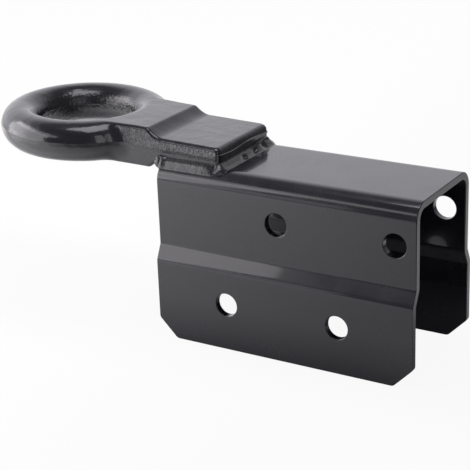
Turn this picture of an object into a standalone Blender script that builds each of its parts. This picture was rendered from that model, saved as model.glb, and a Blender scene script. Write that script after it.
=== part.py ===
"""Lunette eye tow bracket: a forged towing eye on a stepped tail, welded to a bent plate channel.

The channel straps over a 3 in trailer tongue and is bolted through its side walls. The eye goes
over a pintle. Metres, +Z up, +X from the eye to the open end of the channel. The origin is below
the middle of the whole length, level with the channel's lower edges.
"""
import math

import bmesh
import bpy
from mathutils import Vector

# Channel, one plate pressed into an upside-down U whose walls step out lower down
PLATE = 0.00476
CHANNEL_WIDTH = 0.0762
CHANNEL_HEIGHT = 0.1143
CHANNEL_LENGTH = 0.1778
TONGUE_WIDTH = 0.0762
TOP_BEND = 0.0062
CREASE_BEND = 0.003
JOGGLE_TOP = 0.0620
JOGGLE_DROP = 0.0094
CORNER_CUT = 0.0127
CUT_OVERRUN = 0.0100

# Bolt holes, in two rows measured from the channel's open rear end, its top and its lower edge
HOLE = 0.0150
UPPER_ROW_DROP = 0.0266
UPPER_ROW_SETBACK = 0.0139
UPPER_ROW_PITCH = 0.0788
LOWER_ROW_HEIGHT = 0.0305
LOWER_ROW_SETBACK = 0.0500
LOWER_ROW_PITCH = 0.0771

# Forged eye, its flat shank and the tail that lies on the channel
EYE_BORE = 0.0619
EYE_STOCK = 0.0262
EYE_REACH = 0.0795
EYE_RISE = 0.0087
EYE_PITCH = math.radians(1.5)
SHANK_WIDTH = 0.0620
SHANK_BLEND = 0.0160
EDGE_ROUND = 0.0025
FORGING_DRAFT = math.radians(2.0)
STEP_AHEAD = 0.0112
STEP_LENGTH = 0.0080
TAIL_LAP = 0.0425
TAIL_END_THICKNESS = 0.0129
TAIL_CORNER = 0.0035

# Weld runs
SEAT_GAP = 0.0003
RUN_GAP = 0.0003
SIDE_LEG_UP = 0.0027
SIDE_TOE_TURN = math.radians(58.0)
REAR_LEG_UP = 0.0026
REAR_LEG_OUT = 0.0062
FRONT_LEG_DOWN = 0.0044
FRONT_LEG_AHEAD = 0.0062
WELD_CROWN = 0.0006
WELD_END = 0.0050
WELD_END_SHARE = 0.5
WELD_ROOT_ANGLE = math.radians(-60.0)

# Facets
BEND_STEP = math.radians(7.5)
HOLE_FACETS = 48
RING_FACETS = 36
SECTION_STEPS = 8
BLEND_FACETS = 6
CORNER_FACETS = 5
NECK_FACETS = 6
WELD_STATIONS = 18
WELD_CORNER_STEPS = 6
WELD_FACE_STEPS = 5
WELD_ROOT_STEPS = 4

# Places that follow from the sizes above
EYE_RADIUS = (EYE_BORE + EYE_STOCK) / 2
STOCK_RADIUS = EYE_STOCK / 2
NOSE_REACH = EYE_REACH + EYE_RADIUS + STOCK_RADIUS
FRONT_X = (NOSE_REACH - CHANNEL_LENGTH) / 2
REAR_X = FRONT_X + CHANNEL_LENGTH
EYE_X = FRONT_X - EYE_REACH
UPPER_HALF = CHANNEL_WIDTH / 2
LOWER_HALF = TONGUE_WIDTH / 2 + PLATE
OUTER_BEND = TOP_BEND + PLATE
SHANK_HALF = SHANK_WIDTH / 2
BEND_Y = UPPER_HALF - OUTER_BEND
SIDE_LEG_OUT = BEND_Y + OUTER_BEND * math.sin(SIDE_TOE_TURN) - (SHANK_HALF + SEAT_GAP)
TAIL_END_X = FRONT_X + TAIL_LAP
TAIL_SEAT = CHANNEL_HEIGHT + SEAT_GAP
STEP_FRONT_X = FRONT_X - STEP_AHEAD
STEP_BACK_X = STEP_FRONT_X + STEP_LENGTH


def clear_scene():
    for old in list(bpy.data.objects):
        bpy.data.objects.remove(old, do_unlink=True)


def paint(name, colour, roughness):
    """Glossy black paint over steel: no bare metal shows, so the base is not metallic."""
    material = bpy.data.materials.new(name)
    material.use_nodes = True
    shader = material.node_tree.nodes["Principled BSDF"]
    shader.inputs["Base Color"].default_value = (*colour, 1.0)
    shader.inputs["Metallic"].default_value = 0.0
    shader.inputs["Roughness"].default_value = roughness
    return material


def finish(bm, name, material, smooth_angle=math.radians(30)):
    """Turns a closed bmesh into the named object of one sub-part."""
    bmesh.ops.recalc_face_normals(bm, faces=bm.faces)
    mesh = bpy.data.meshes.new(name)
    bm.to_mesh(mesh)
    bm.free()
    mesh.materials.append(material)
    mesh.shade_smooth()
    mesh.set_sharp_from_angle(angle=smooth_angle)
    piece = bpy.data.objects.new(name, mesh)
    bpy.context.scene.collection.objects.link(piece)
    return piece


def arc(centre, radius, start, end, steps):
    """Points on an arc in a plane, both ends included."""
    angles = [start + (end - start) * i / steps for i in range(steps + 1)]
    return [Vector((centre[0] + radius * math.cos(a), centre[1] + radius * math.sin(a))) for a in angles]


def skin(bm, loops):
    """A wall through a row of closed loops with equal point counts, by extruding the first one.

    Returns the edges of the first and the last loop.
    """
    station = bm.verts.layers.int.get("station") or bm.verts.layers.int.new("station")
    verts = [bm.verts.new(point) for point in loops[0]]
    for i, vert in enumerate(verts):
        vert[station] = i
    first = [bm.edges.new((a, b)) for a, b in zip(verts, verts[1:] + verts[:1])]
    last = first
    for loop in loops[1:]:
        grown = bmesh.ops.extrude_edge_only(bm, edges=last)["geom"]
        last = [e for e in grown if isinstance(e, bmesh.types.BMEdge)]
        for vert in (v for v in grown if isinstance(v, bmesh.types.BMVert)):
            vert.co = loop[vert[station]]
    return first, last


# Channel


def offset_corners(corners, distance):
    """Moves a polyline sideways, to the right of its direction, by the same distance all along."""
    directions = [(b - a).normalized() for a, b in zip(corners, corners[1:])]
    normals = [Vector((d.y, -d.x)) for d in directions]
    moved = [corners[0] + normals[0] * distance]
    for corner, before, after in zip(corners[1:], normals, normals[1:]):
        moved.append(corner + (before + after) * distance / (1 + before.dot(after)))
    moved.append(corners[-1] + normals[-1] * distance)
    return moved


def bent_path(corners, bends, on_outer_face):
    """A polyline of plate corners with each corner turned on its bend radius."""
    path = [corners[0]]
    for before, corner, after, bend in zip(corners, corners[1:], corners[2:], bends):
        into = (corner - before).normalized()
        out = (after - corner).normalized()
        turn = math.atan2(into.x * out.y - into.y * out.x, into.dot(out))
        turns_inwards = turn < 0
        radius = bend + PLATE if turns_inwards == on_outer_face else bend
        side = 1 if turn > 0 else -1
        start = corner - into * radius * math.tan(abs(turn) / 2)
        centre = start + Vector((-into.y, into.x)) * side * radius
        first = math.atan2(start.y - centre.y, start.x - centre.x)
        steps = max(3, math.ceil(abs(turn) / BEND_STEP))
        path += arc(centre, radius, first, first + turn, steps)
    path.append(corners[-1])
    return path


def channel_section():
    """The plate's outline across the channel, as (y, z): up one side, over the top, down the other."""
    left = [
        Vector((-LOWER_HALF, 0.0)),
        Vector((-LOWER_HALF, JOGGLE_TOP - JOGGLE_DROP)),
        Vector((-UPPER_HALF, JOGGLE_TOP)),
        Vector((-UPPER_HALF, CHANNEL_HEIGHT)),
    ]
    right = [Vector((-p.x, p.y)) for p in reversed(left)]
    outer_corners = left + right
    bends = [CREASE_BEND, CREASE_BEND, TOP_BEND, TOP_BEND, CREASE_BEND, CREASE_BEND]
    outer = bent_path(outer_corners, bends, True)
    inner = bent_path(offset_corners(outer_corners, PLATE), bends, False)
    return outer + inner[::-1]


def channel_cuts():
    """Everything taken out of the channel: four bolt hole lines and the cut lower corners."""
    bm = bmesh.new()
    cut_width = 2 * (LOWER_HALF + CUT_OVERRUN)
    rows = [
        (CHANNEL_HEIGHT - UPPER_ROW_DROP, UPPER_ROW_SETBACK, UPPER_ROW_PITCH),
        (LOWER_ROW_HEIGHT, LOWER_ROW_SETBACK, LOWER_ROW_PITCH),
    ]
    for height, setback, pitch in rows:
        for x in (REAR_X - setback, REAR_X - setback - pitch):
            drill = bmesh.ops.create_cone(bm, cap_ends=True, segments=HOLE_FACETS, radius1=HOLE / 2,
                                          radius2=HOLE / 2, depth=cut_width)
            across = Vector((0, 1, 0)).to_track_quat("Z", "X").to_matrix()
            bmesh.ops.rotate(bm, verts=drill["verts"], matrix=across)
            bmesh.ops.translate(bm, verts=drill["verts"], vec=(x, 0, height))
    for end_x, along in ((FRONT_X, 1), (REAR_X, -1)):
        reach = CORNER_CUT + CUT_OVERRUN
        corner = [(-CUT_OVERRUN, -CUT_OVERRUN), (reach, -CUT_OVERRUN), (-CUT_OVERRUN, reach)]
        profile = [bm.verts.new((end_x + along * x, -cut_width / 2, z)) for x, z in corner]
        face = bm.faces.new(profile)
        wedge = bmesh.ops.extrude_face_region(bm, geom=[face])
        far = [v for v in wedge["geom"] if isinstance(v, bmesh.types.BMVert)]
        bmesh.ops.translate(bm, verts=far, vec=(0, cut_width, 0))
    return bm


def make_channel(material):
    bm = bmesh.new()
    section = bm.faces.new([bm.verts.new((FRONT_X, p.x, p.y)) for p in channel_section()])
    length = bmesh.ops.extrude_face_region(bm, geom=[section])
    far = [v for v in length["geom"] if isinstance(v, bmesh.types.BMVert)]
    bmesh.ops.translate(bm, verts=far, vec=(CHANNEL_LENGTH, 0, 0))
    channel = finish(bm, "channel_bracket", material)
    cutter = finish(channel_cuts(), "channel_cuts", material)
    cutter.hide_render = True
    cutter.display_type = "WIRE"
    cut = channel.modifiers.new("holes_and_corners", "BOOLEAN")
    cut.operation = "DIFFERENCE"
    cut.solver = "EXACT"
    cut.object = cutter


# Forged eye


def eye_plane(x):
    """Height of the eye's middle plane, which rises a little towards the nose."""
    return CHANNEL_HEIGHT + EYE_RISE - (x - EYE_X) * math.tan(EYE_PITCH)


def edge_inset(height):
    """How far the shank's outline draws in at this height over the middle plane: draft, then the edge."""
    rounding = abs(height) - (STOCK_RADIUS - EDGE_ROUND)
    inset = abs(height) * math.tan(FORGING_DRAFT)
    if rounding > 0:
        inset += EDGE_ROUND - math.sqrt(max(EDGE_ROUND ** 2 - rounding ** 2, 0.0))
    return inset


def blend_angle(ring, half_width):
    """Where a blend between the round eye and the straight side leaves the eye."""
    return math.asin((half_width + SHANK_BLEND) / (ring + SHANK_BLEND))


def half_outline(height, ring):
    """Half of the forging's outline at one height, as (x, y) from the eye's centre: tail end to nose."""
    inset = edge_inset(height)
    half_width = SHANK_HALF - inset
    end = EYE_REACH + TAIL_LAP - inset
    leave = blend_angle(ring, half_width)
    blend_x = (ring + SHANK_BLEND) * math.cos(leave)
    corner = arc((end - TAIL_CORNER, half_width - TAIL_CORNER), TAIL_CORNER, 0, math.pi / 2, CORNER_FACETS)
    blend_centre = (blend_x, half_width + SHANK_BLEND)
    blend = arc(blend_centre, SHANK_BLEND, 1.5 * math.pi, math.pi + leave, BLEND_FACETS)
    nose = arc((0, 0), ring, leave, math.pi, RING_FACETS)
    return [Vector((end, 0.0))] + corner + blend + nose[1:]


def half_bore(radius):
    """Half of the bore's outline, with its points on the same rays as the eye's crown."""
    crown_half_width = SHANK_HALF - edge_inset(STOCK_RADIUS)
    leave = blend_angle(EYE_RADIUS, crown_half_width)
    return arc((0, 0), radius, 0, leave, NECK_FACETS) + arc((0, 0), radius, leave, math.pi, RING_FACETS)[1:]


def level(half, height):
    """A closed loop at one height from half an outline, whose two ends lie on the middle line."""
    outline = half + [Vector((p.x, -p.y)) for p in half[-2:0:-1]]
    return [Vector((p.x, p.y, height)) for p in outline]


def forged_height(x, height):
    """Takes a height in the flat blank to the real one: the tail is stepped down onto the plate."""
    middle = eye_plane(x)
    step = min(max((x - STEP_FRONT_X) / STEP_LENGTH, 0.0), 1.0)
    tail_top = TAIL_SEAT + TAIL_END_THICKNESS + (TAIL_END_X - x) * math.tan(EYE_PITCH)
    top = (middle + STOCK_RADIUS) * (1 - step) + tail_top * step
    bottom = (middle - STOCK_RADIUS) * (1 - step) + TAIL_SEAT * step
    core = STOCK_RADIUS - EDGE_ROUND
    centre = (top + bottom) / 2
    if abs(height) <= core:
        return centre + ((top - bottom) / 2 - EDGE_ROUND) * height / core
    depth = STOCK_RADIUS - abs(height)
    return top - depth if height > 0 else bottom + depth


def make_eye(material):
    bm = bmesh.new()
    turns = [math.pi / 2 * i / SECTION_STEPS for i in range(-SECTION_STEPS, SECTION_STEPS + 1)]
    outside = []
    inside = []
    for turn in turns:
        height = STOCK_RADIUS * math.sin(turn)
        swell = STOCK_RADIUS * math.cos(turn)
        outside.append(level(half_outline(height, EYE_RADIUS + swell), height))
        inside.append(level(half_bore(EYE_RADIUS - swell), height))
    skin(bm, outside)
    skin(bm, inside)
    bmesh.ops.remove_doubles(bm, verts=bm.verts, dist=1e-6)
    rims = [e for e in bm.edges if e.is_boundary]
    bmesh.ops.contextual_create(bm, geom=[e for e in rims if e.verts[0].co.z > 0])
    bmesh.ops.contextual_create(bm, geom=[e for e in rims if e.verts[0].co.z < 0])
    bmesh.ops.translate(bm, verts=bm.verts, vec=(EYE_X, 0, 0))
    for x in (STEP_FRONT_X, STEP_BACK_X):
        everything = bm.verts[:] + bm.edges[:] + bm.faces[:]
        bmesh.ops.bisect_plane(bm, geom=everything, plane_co=(x, 0, 0), plane_no=(1, 0, 0))
    for vert in bm.verts:
        vert.co.z = forged_height(vert.co.x, vert.co.z)
    finish(bm, "lunette_eye", material)


# Weld runs


def plate_top(y):
    """Height of the channel's top face at this distance from the middle, over the bend as well."""
    over = abs(y) - BEND_Y
    if over <= 0:
        return CHANNEL_HEIGHT
    return CHANNEL_HEIGHT - OUTER_BEND + math.sqrt(max(OUTER_BEND ** 2 - over ** 2, 0.0))


def end_taper(along, length):
    """Share of the full bead at this distance along a run: both ends close in a quarter round."""
    from_end = min(along, length - along) / WELD_END
    if from_end >= 1:
        return 1.0
    return WELD_END_SHARE + (1 - WELD_END_SHARE) * math.sqrt(max(1 - (1 - from_end) ** 2, 0.0))


def crowned(toe, top, bulge_direction):
    """Points between a bead's two toes on a slightly swollen face, toes left out."""
    face = []
    for i in range(1, WELD_FACE_STEPS):
        share = i / WELD_FACE_STEPS
        face.append(toe.lerp(top, share) + bulge_direction * WELD_CROWN * math.sin(math.pi * share))
    return face


def lap_section(foot, outward, leg_up, leg_out):
    """Section of a bead in the corner between the tail and the channel's top.

    The foot is where the tail's side, with its gap, meets the plate. The root runs in under the
    tail's rounded lower edge, and the underside follows the plate and its bend.
    """
    def at(out, up):
        spot = foot + outward * out
        return Vector((spot.x, spot.y, CHANNEL_HEIGHT + up))

    def on_plate(out):
        point = at(out, SEAT_GAP)
        point.z += plate_top(point.y) - CHANNEL_HEIGHT
        return point

    edge = EDGE_ROUND + SEAT_GAP
    toe_angle = math.asin(min(leg_up / edge - 1, 0.0))
    root = arc((-edge, edge), edge, toe_angle, WELD_ROOT_ANGLE, WELD_ROOT_STEPS)
    root_arc = [at(p.x, p.y) for p in root]
    root_out = edge * (math.cos(WELD_ROOT_ANGLE) - 1)
    shares = [i / WELD_FACE_STEPS for i in range(WELD_FACE_STEPS + 1)]
    under = [on_plate(root_out + (leg_out - root_out) * share) for share in shares]
    lean = Vector((outward.x * leg_up, outward.y * leg_up, leg_out)).normalized()
    return under + crowned(under[-1], root_arc[0], lean) + root_arc


def side_weld_sections(side):
    """Along one side of the tail, from the channel's front edge to the tail's corner."""
    start = FRONT_X + RUN_GAP
    length = TAIL_LAP - TAIL_CORNER - 2 * RUN_GAP
    outward = Vector((0, side))
    sections = []
    for i in range(WELD_STATIONS + 1):
        along = length * i / WELD_STATIONS
        share = end_taper(along, length)
        foot = Vector((start + along, side * (SHANK_HALF + SEAT_GAP)))
        sections.append(lap_section(foot, outward, SIDE_LEG_UP * share, SIDE_LEG_OUT * share))
    return sections


def rear_weld_sections():
    """Round the tail's end, corner to corner."""
    corner_x = TAIL_END_X - TAIL_CORNER
    corner_y = SHANK_HALF - TAIL_CORNER
    foot_radius = TAIL_CORNER + SEAT_GAP
    stations = []
    for side in (-1, 1):
        turns = [math.pi / 2 * i / WELD_CORNER_STEPS for i in range(WELD_CORNER_STEPS + 1)]
        corner = []
        for turn in turns:
            outward = Vector((math.sin(turn), side * math.cos(turn)))
            foot = Vector((corner_x, side * corner_y)) + outward * foot_radius
            corner.append((foot, outward, math.sin(turn) ** 2))
        stations.append(corner)
    near, far = stations
    across = []
    for i in range(1, WELD_STATIONS):
        foot = near[-1][0].lerp(far[-1][0], i / WELD_STATIONS)
        across.append((foot, Vector((1, 0)), 1.0))
    sections = []
    for foot, outward, squareness in near + across + far[::-1]:
        leg_up = SIDE_LEG_UP + (REAR_LEG_UP - SIDE_LEG_UP) * squareness
        leg_out = SIDE_LEG_OUT + (REAR_LEG_OUT - SIDE_LEG_OUT) * squareness
        sections.append(lap_section(foot, outward, leg_up, leg_out))
    return sections


def front_weld_sections():
    """Under the shank, in the groove between its step and the channel's front edge."""
    drop = forged_height(STEP_BACK_X, -STOCK_RADIUS) - forged_height(STEP_FRONT_X, -STOCK_RADIUS)
    slope = math.atan2(drop, STEP_LENGTH)

    def under_shank(x, y):
        lift = SEAT_GAP / math.cos(slope) if x < STEP_BACK_X else SEAT_GAP
        return Vector((x, y, forged_height(x, -STOCK_RADIUS) - lift))

    length = SHANK_WIDTH - 2 * EDGE_ROUND
    sections = []
    for i in range(WELD_STATIONS + 1):
        along = length * i / WELD_STATIONS
        share = end_taper(along, length)
        y = along - length / 2
        root_x = FRONT_X - SEAT_GAP
        root = under_shank(root_x, y)
        knee = under_shank(STEP_BACK_X, y)
        ahead = STEP_BACK_X - (FRONT_LEG_AHEAD - (FRONT_X - STEP_BACK_X)) * share
        toe = under_shank(ahead, y)
        foot = Vector((root_x, y, CHANNEL_HEIGHT - FRONT_LEG_DOWN * share))
        lean = Vector((-FRONT_LEG_DOWN, 0, -FRONT_LEG_AHEAD)).normalized()
        sections.append([root, knee, toe] + crowned(toe, foot, lean) + [foot])
    return sections


def sweep(sections, name, material):
    """A closed solid through a row of sections with equal point counts."""
    bm = bmesh.new()
    for rim in skin(bm, sections):
        bmesh.ops.contextual_create(bm, geom=rim)
    finish(bm, name, material)


def make_welds(material):
    sweep(side_weld_sections(-1), "side_weld_left", material)
    sweep(side_weld_sections(1), "side_weld_right", material)
    sweep(rear_weld_sections(), "rear_weld", material)
    sweep(front_weld_sections(), "front_weld", material)


clear_scene()
make_channel(paint("channel_black", (0.022, 0.022, 0.024), 0.35))
make_eye(paint("forging_black", (0.020, 0.020, 0.022), 0.28))
make_welds(paint("weld_black", (0.024, 0.024, 0.026), 0.25))
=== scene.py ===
"""Looks of the lunette eye tow bracket: black gloss paint over plate, forging and weld beads.

Metres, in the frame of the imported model: +X from the eye to the channel's open end, +Z up.
"""
import math

import bmesh
import bpy
from mathutils import Matrix, Vector, noise


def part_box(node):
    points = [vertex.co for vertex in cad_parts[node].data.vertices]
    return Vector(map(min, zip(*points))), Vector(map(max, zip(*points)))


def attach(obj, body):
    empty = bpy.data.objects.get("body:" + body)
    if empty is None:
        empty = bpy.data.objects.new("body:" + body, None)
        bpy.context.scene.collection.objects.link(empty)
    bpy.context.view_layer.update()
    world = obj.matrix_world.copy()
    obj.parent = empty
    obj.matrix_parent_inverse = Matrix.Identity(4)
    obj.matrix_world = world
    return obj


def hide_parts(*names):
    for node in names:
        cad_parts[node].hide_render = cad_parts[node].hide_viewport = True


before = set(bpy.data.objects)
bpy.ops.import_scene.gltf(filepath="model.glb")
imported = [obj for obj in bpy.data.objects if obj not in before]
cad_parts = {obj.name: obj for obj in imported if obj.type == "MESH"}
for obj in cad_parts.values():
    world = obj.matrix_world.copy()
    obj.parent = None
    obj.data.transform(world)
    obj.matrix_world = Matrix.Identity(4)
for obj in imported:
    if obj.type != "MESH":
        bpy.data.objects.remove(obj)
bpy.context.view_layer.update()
MM = 0.001

# Channel bracket: one 3/16 in steel plate, cut to outline and drilled flat, then pressed into an
# upside-down U whose walls step out by a plate thickness lower down. It is painted black gloss.
channel_low, channel_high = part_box("channel_bracket")
FRONT_X = channel_low.x
REAR_X = channel_high.x
PLATE_TOP = channel_high.z
PLATE = 4.76 * MM
UPPER_HALF = 38.1 * MM
LOWER_HALF = channel_high.y
OUTER_BEND = 10.96 * MM
BEND_Y = UPPER_HALF - OUTER_BEND
CREASE_BEND = 3.0 * MM
UPPER_CREASE = 62.0 * MM
LOWER_CREASE = 52.6 * MM
CORNER_CUT = 12.7 * MM
CORNER_SOFTENING = 1.4 * MM
CORNER_STEPS = 5
HOLE_RADIUS = 7.5 * MM
HOLE_RIM = 9.2 * MM
HOLE_CELL = 11.5 * MM
HOLE_CELL_DIAGONAL = 1.45
HOLE_SIDES = 72
UPPER_ROW = 87.7 * MM
UPPER_HOLES_FROM_REAR = (13.9 * MM, 92.7 * MM)
LOWER_ROW = 30.5 * MM
LOWER_HOLES_FROM_REAR = (50.0 * MM, 127.1 * MM)
CUT_EDGE = 0.55 * MM
BEND_MARGIN = 0.8 * MM
FINE_BEND_STEP = math.radians(4.0)
PLATE_BLACK = (0.0105, 0.0100, 0.0150)
PLATE_SAG = 0.10 * MM
PLATE_PEEL = 0.004 * MM

flare = math.atan2(LOWER_HALF - UPPER_HALF, UPPER_CREASE - LOWER_CREASE)
hollow_tangent = CREASE_BEND * math.tan(flare / 2)
round_crease = CREASE_BEND + PLATE
round_tangent = round_crease * math.tan(flare / 2)
slope_length = math.hypot(LOWER_HALF - UPPER_HALF, UPPER_CREASE - LOWER_CREASE)
# Each run of the outer face, from the middle of the top down one wall: length, bend radius, turn
press_runs = [
    (BEND_Y, None, 0.0),
    (OUTER_BEND * math.pi / 2, OUTER_BEND, -math.pi / 2),
    (PLATE_TOP - OUTER_BEND - UPPER_CREASE - hollow_tangent, None, 0.0),
    (CREASE_BEND * flare, CREASE_BEND, flare),
    (slope_length - hollow_tangent - round_tangent, None, 0.0),
    (round_crease * flare, round_crease, -flare),
    (LOWER_CREASE - round_tangent, None, 0.0),
]
blank_half = sum(length for length, radius, turn in press_runs)


def pressed(developed):
    """Where a point of the flat blank lands on the pressed outer face, as (y, z)."""
    y, z, heading = 0.0, PLATE_TOP, 0.0
    left = abs(developed)
    for length, radius, turn in press_runs:
        used = min(left, length)
        if radius is None:
            y += used * math.cos(heading)
            z += used * math.sin(heading)
        else:
            sense = math.copysign(1, turn)
            centre_y = y - sense * radius * math.sin(heading)
            centre_z = z + sense * radius * math.cos(heading)
            heading += sense * used / radius
            y = centre_y + sense * radius * math.sin(heading)
            z = centre_z - sense * radius * math.cos(heading)
        left -= used
        if left <= 0:
            break
    return math.copysign(y, developed), z


def cut_across(bm, place, normal):
    """Scores every face that a plane crosses."""
    geom = bm.verts[:] + bm.edges[:] + bm.faces[:]
    bmesh.ops.bisect_plane(bm, geom=geom, dist=0.001 * MM, plane_co=place, plane_no=normal)


def piece_from(bm, name, sharp=math.radians(35)):
    """The finished object of a bmesh, shaded smooth except over sharp edges."""
    mesh = bpy.data.meshes.new(name)
    bm.to_mesh(mesh)
    bm.free()
    mesh.shade_smooth()
    mesh.set_sharp_from_angle(angle=sharp)
    piece = bpy.data.objects.new(name, mesh)
    bpy.context.scene.collection.objects.link(piece)
    return piece


def flat_blank(hole_places):
    """The plate before pressing: outline with softened corners, scored round each hole and drilled."""
    bm = bmesh.new()
    outline = [
        (FRONT_X + CORNER_CUT, -blank_half), (REAR_X - CORNER_CUT, -blank_half),
        (REAR_X, -blank_half + CORNER_CUT), (REAR_X, blank_half - CORNER_CUT),
        (REAR_X - CORNER_CUT, blank_half), (FRONT_X + CORNER_CUT, blank_half),
        (FRONT_X, blank_half - CORNER_CUT), (FRONT_X, -blank_half + CORNER_CUT),
    ]
    bm.faces.new([bm.verts.new((x, y, 0)) for x, y in outline])
    bmesh.ops.bevel(bm, geom=bm.verts[:], offset=CORNER_SOFTENING, segments=CORNER_STEPS, profile=0.5,
                    affect="VERTICES", material=-1)
    start = 0.0
    for length, radius, turn in press_runs:
        steps = max(1, math.ceil(abs(turn) / FINE_BEND_STEP))
        scores = [start + length * i / steps for i in range(1, steps + 1)]
        if radius is None:
            scores = [start + BEND_MARGIN, start + length - BEND_MARGIN, start + length]
        for score in scores:
            if score < blank_half - BEND_MARGIN * 2:
                for side in (-1, 1):
                    cut_across(bm, (0, side * score, 0), (0, 1, 0))
        start += length
    for x, y in hole_places:
        for reach in (-HOLE_CELL, HOLE_CELL):
            cut_across(bm, (x + reach, 0, 0), (1, 0, 0))
            cut_across(bm, (0, y + reach, 0), (0, 1, 0))
    for x, y in hole_places:
        cell = [f for f in bm.faces if (f.calc_center_median() - Vector((x, y, 0))).length < 3 * MM
                or all((v.co - Vector((x, y, 0))).length < HOLE_CELL * HOLE_CELL_DIAGONAL for v in f.verts)]
        bmesh.ops.delete(bm, geom=cell, context="FACES_KEEP_BOUNDARY")
        corner_reach = HOLE_CELL + 0.01 * MM
        frame_edges = [e for e in bm.edges if e.is_boundary and all(
            abs(v.co.x - x) < corner_reach and abs(v.co.y - y) < corner_reach for v in e.verts)]
        drilled = bmesh.ops.create_circle(bm, cap_ends=False, segments=HOLE_SIDES, radius=HOLE_RADIUS,
                                          matrix=Matrix.Translation((x, y, 0)))
        rim = list({e for v in drilled["verts"] for e in v.link_edges})
        widened = bmesh.ops.extrude_edge_only(bm, edges=rim)["geom"]
        outer_points = [item for item in widened if isinstance(item, bmesh.types.BMVert)]
        bmesh.ops.scale(bm, verts=outer_points, vec=(HOLE_RIM / HOLE_RADIUS,) * 3,
                        space=Matrix.Translation((-x, -y, 0)))
        outer = set(outer_points)
        outer_rim = [e for e in bm.edges if e.verts[0] in outer and e.verts[1] in outer]
        bmesh.ops.triangle_fill(bm, edges=frame_edges + outer_rim, use_beauty=True, normal=(0, 0, 1))
    return bm


def press(bm):
    """Folds the drilled blank into the channel, with its faces pointing outwards."""
    for vert in bm.verts:
        y, z = pressed(vert.co.y)
        vert.co = (vert.co.x, y, z)
    bmesh.ops.recalc_face_normals(bm, faces=bm.faces)
    if max(bm.faces, key=lambda f: f.calc_center_median().z).normal.z < 0:
        bmesh.ops.reverse_faces(bm, faces=bm.faces)


def paint_nodes(name, colour, roughness, coat_roughness):
    """A black gloss paint with its nodes, links, shader and object coordinates ready to wire."""
    material = bpy.data.materials.new(name)
    material.use_nodes = True
    nodes = material.node_tree.nodes
    shader = nodes["Principled BSDF"]
    shader.inputs["Base Color"].default_value = (*colour, 1)
    shader.inputs["Roughness"].default_value = roughness
    shader.inputs["IOR"].default_value = 1.5
    shader.inputs["Coat Weight"].default_value = 1.0
    shader.inputs["Coat Roughness"].default_value = coat_roughness
    shader.inputs["Coat IOR"].default_value = 1.5
    place = nodes.new("ShaderNodeTexCoord").outputs["Object"]
    return material, nodes, material.node_tree.links, shader, place


def noise_field(nodes, links, place, scale, detail=2.0, rough=0.5, stretch=(1, 1, 1)):
    """Noise in the object's own metres; scale is in cells per metre."""
    mapping = nodes.new("ShaderNodeMapping")
    mapping.inputs["Scale"].default_value = stretch
    links.new(place, mapping.inputs["Vector"])
    field = nodes.new("ShaderNodeTexNoise")
    field.inputs["Scale"].default_value = scale
    field.inputs["Detail"].default_value = detail
    field.inputs["Roughness"].default_value = rough
    links.new(mapping.outputs["Vector"], field.inputs["Vector"])
    return field.outputs["Fac"]


def spread(nodes, links, value, low, high, to_low, to_high):
    """Maps one range of a value to another, clamped."""
    ramp = nodes.new("ShaderNodeMapRange")
    for socket, number in (("From Min", low), ("From Max", high), ("To Min", to_low), ("To Max", to_high)):
        ramp.inputs[socket].default_value = number
    links.new(value, ramp.inputs["Value"])
    return ramp.outputs["Result"]


def wire_bumps(nodes, links, shader, fields):
    """A chain of bump nodes on the paint and its coat, each a field with its height in metres."""
    normal = None
    for field, height in fields:
        bump = nodes.new("ShaderNodeBump")
        bump.inputs["Strength"].default_value = 1.0
        bump.inputs["Distance"].default_value = height
        links.new(field, bump.inputs["Height"])
        if normal:
            links.new(normal, bump.inputs["Normal"])
        normal = bump.outputs["Normal"]
    links.new(normal, shader.inputs["Normal"])
    links.new(normal, shader.inputs["Coat Normal"])


def plate_paint():
    """Smooth black gloss over flat plate, with a slow sag and a little orange peel."""
    material, nodes, links, shader, place = paint_nodes("plate_black_gloss", PLATE_BLACK, 0.24, 0.06)
    mottling = noise_field(nodes, links, place, 45, 3)
    links.new(spread(nodes, links, mottling, 0.35, 0.65, 0.19, 0.29), shader.inputs["Roughness"])
    peel = noise_field(nodes, links, place, 900)
    sag = noise_field(nodes, links, place, 28)
    wire_bumps(nodes, links, shader, [(sag, PLATE_SAG), (peel, PLATE_PEEL)])
    return material


top_run = press_runs[0][0] + press_runs[1][0]
upper_row_developed = top_run + PLATE_TOP - OUTER_BEND - UPPER_ROW
lower_row_developed = blank_half - LOWER_ROW
hole_places = [(REAR_X - setback, side * developed)
               for developed, setbacks in ((upper_row_developed, UPPER_HOLES_FROM_REAR),
                                           (lower_row_developed, LOWER_HOLES_FROM_REAR))
               for setback in setbacks for side in (-1, 1)]
channel_mesh = flat_blank(hole_places)
press(channel_mesh)
channel = piece_from(channel_mesh, "pressed_channel")
wall = channel.modifiers.new("plate_thickness", "SOLIDIFY")
wall.thickness = PLATE
wall.offset = -1
wall.use_even_offset = True
edge = channel.modifiers.new("softened_edges", "BEVEL")
edge.width = CUT_EDGE
edge.segments = 3
edge.limit_method = "ANGLE"
edge.angle_limit = math.radians(50)
edge.harden_normals = True
channel.data.materials.append(plate_paint())
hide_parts("channel_bracket")
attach(channel, "root")

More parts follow.
